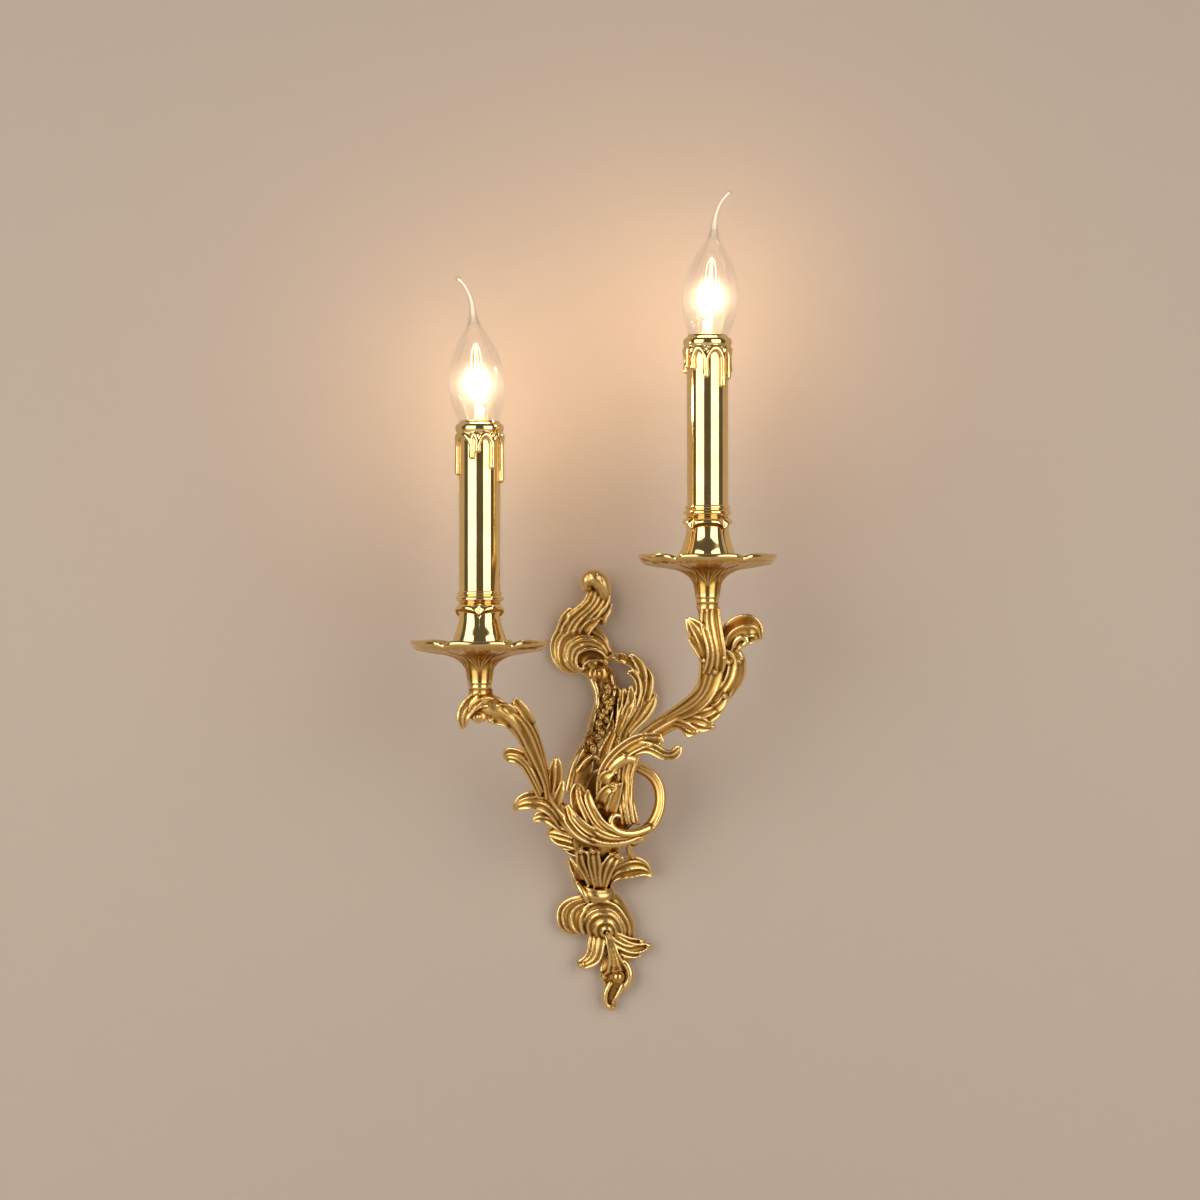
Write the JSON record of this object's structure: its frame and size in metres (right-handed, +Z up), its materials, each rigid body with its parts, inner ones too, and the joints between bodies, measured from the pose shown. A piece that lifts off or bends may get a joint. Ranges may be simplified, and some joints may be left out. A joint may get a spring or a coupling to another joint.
{
  "type": "candle wall sconce",
  "caption": "Rococo cast brass wall sconce: a scrolled back plate and leafy arms carry drip pans, candle sleeves with wax drips and screw-in flame lamps.",
  "frame": {"origin": "on the wall plane, midway between the two wall studs", "axes": "+Z up, +X to the right seen from the room, -Y out of the wall into the room"},
  "size_m": [0.2243, 0.1684, 0.5144],
  "materials": {
    "cast_brass": "satin gilt casting",
    "polished_brass": "mirror polished",
    "plain_brass": "machined",
    "zinc_steel": "zinc plated",
    "nickel": "nickel plated",
    "solder": "soldered",
    "black_resin": "moulded",
    "white_nylon": "moulded",
    "lead_sheath": "silicone sheath",
    "clear_glass": "clear",
    "black_glass": "vitrified",
    "filament": "lit filament"
  },
  "bodies": {
    "fixture": {"back_plate": "cast_brass", "left_arm": "cast_brass", "right_arm": "cast_brass", "wall_studs": "zinc_steel", "arm_nipples": "plain_brass", "arm_nipple_nuts": "plain_brass", "arm_nipple_washers": "zinc_steel", "terminal_block": "white_nylon", "terminal_clamps": "plain_brass", "terminal_screws": "zinc_steel", "terminal_fixing_screw": "zinc_steel", "earth_screw": "plain_brass", "earth_washer": "plain_brass", "left_drip_pan": "cast_brass", "left_candle_cup": "polished_brass", "left_candle_ring": "polished_brass", "left_candle_nipple": "plain_brass", "left_candle_nut": "plain_brass", "left_holder_body": "black_resin", "left_holder_shell": "plain_brass", "left_holder_contact": "plain_brass", "left_lamp_lead": "lead_sheath", "right_drip_pan": "cast_brass", "right_candle_cup": "polished_brass", "right_candle_ring": "polished_brass", "right_candle_nipple": "plain_brass", "right_candle_nut": "plain_brass", "right_holder_body": "black_resin", "right_holder_shell": "plain_brass", "right_holder_contact": "plain_brass", "right_lamp_lead": "lead_sheath"},
    "left_lamp": {"left_bulb_cap": "nickel", "left_bulb_insulator": "black_glass", "left_bulb_contact": "solder", "left_bulb_glass": "clear_glass", "left_bulb_stem": "clear_glass", "left_bulb_filaments": "filament", "left_bulb_supports": "nickel"},
    "left_sleeve": {"left_candle_sleeve": "polished_brass", "left_drip_cap": "polished_brass"},
    "right_lamp": {"right_bulb_cap": "nickel", "right_bulb_insulator": "black_glass", "right_bulb_contact": "solder", "right_bulb_glass": "clear_glass", "right_bulb_stem": "clear_glass", "right_bulb_filaments": "filament", "right_bulb_supports": "nickel"},
    "right_sleeve": {"right_candle_sleeve": "polished_brass", "right_drip_cap": "polished_brass"},
    "upper_nut": {"upper_ball_nut": "polished_brass"},
    "lower_nut": {"lower_ball_nut": "polished_brass"}
  },
  "joints": [
    {"name": "left_lamp_screw", "type": "hinge", "parent": "fixture", "child": "left_lamp", "pos_m": [-0.0788, -0.095, 0.0931], "axis": [0, 0, 1], "range_deg": [0, 1800]},
    {"name": "right_lamp_screw", "type": "hinge", "parent": "fixture", "child": "right_lamp", "pos_m": [0.0613, -0.095, 0.1459], "axis": [0, 0, 1], "range_deg": [0, 1800]},
    {"name": "left_sleeve_turn", "type": "hinge", "parent": "fixture", "child": "left_sleeve", "pos_m": [-0.0788, -0.095, 0.0931], "axis": [0, 0, 1], "continuous": true},
    {"name": "right_sleeve_turn", "type": "hinge", "parent": "fixture", "child": "right_sleeve", "pos_m": [0.0613, -0.095, 0.1459], "axis": [0, 0, 1], "continuous": true},
    {"name": "upper_nut_screw", "type": "hinge", "parent": "fixture", "child": "upper_nut", "pos_m": [-0.0067, -0.009, 0.0972], "axis": [0, -1, 0], "range_deg": [0, 1800]},
    {"name": "lower_nut_screw", "type": "hinge", "parent": "fixture", "child": "lower_nut", "pos_m": [0.0067, -0.009, -0.0972], "axis": [0, -1, 0], "range_deg": [0, 1800]}
  ]
}
